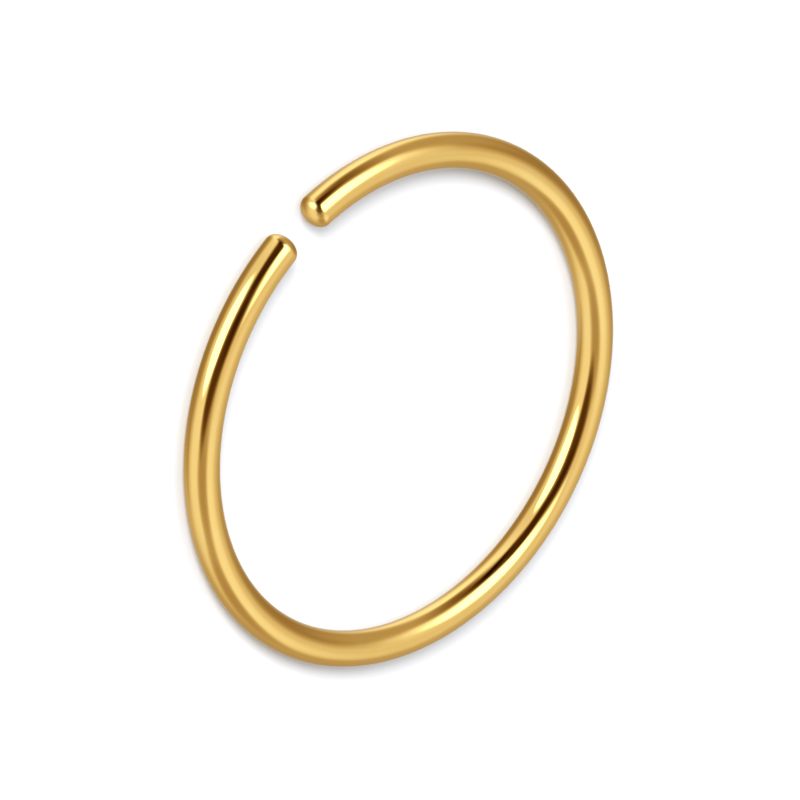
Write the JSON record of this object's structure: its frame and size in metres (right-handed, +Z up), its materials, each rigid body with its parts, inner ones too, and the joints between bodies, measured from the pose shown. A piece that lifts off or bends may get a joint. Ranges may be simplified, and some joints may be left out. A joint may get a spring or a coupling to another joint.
{
  "type": "nose ring",
  "caption": "Plain open nose hoop: round polished wire bent to a circle, with a narrow gap between rounded ends.",
  "frame": {"origin": "under the centre of the hoop's circle, on the surface that it rests on", "axes": "+Z up, square to the hoop's circle; -Y out through the middle of the gap between its ends"},
  "size_m": [0.0116, 0.0114, 0.0008],
  "materials": {
    "polished_gold": "polished yellow gold"
  },
  "bodies": {
    "root": {"hoop": "polished_gold"}
  },
  "joints": []
}
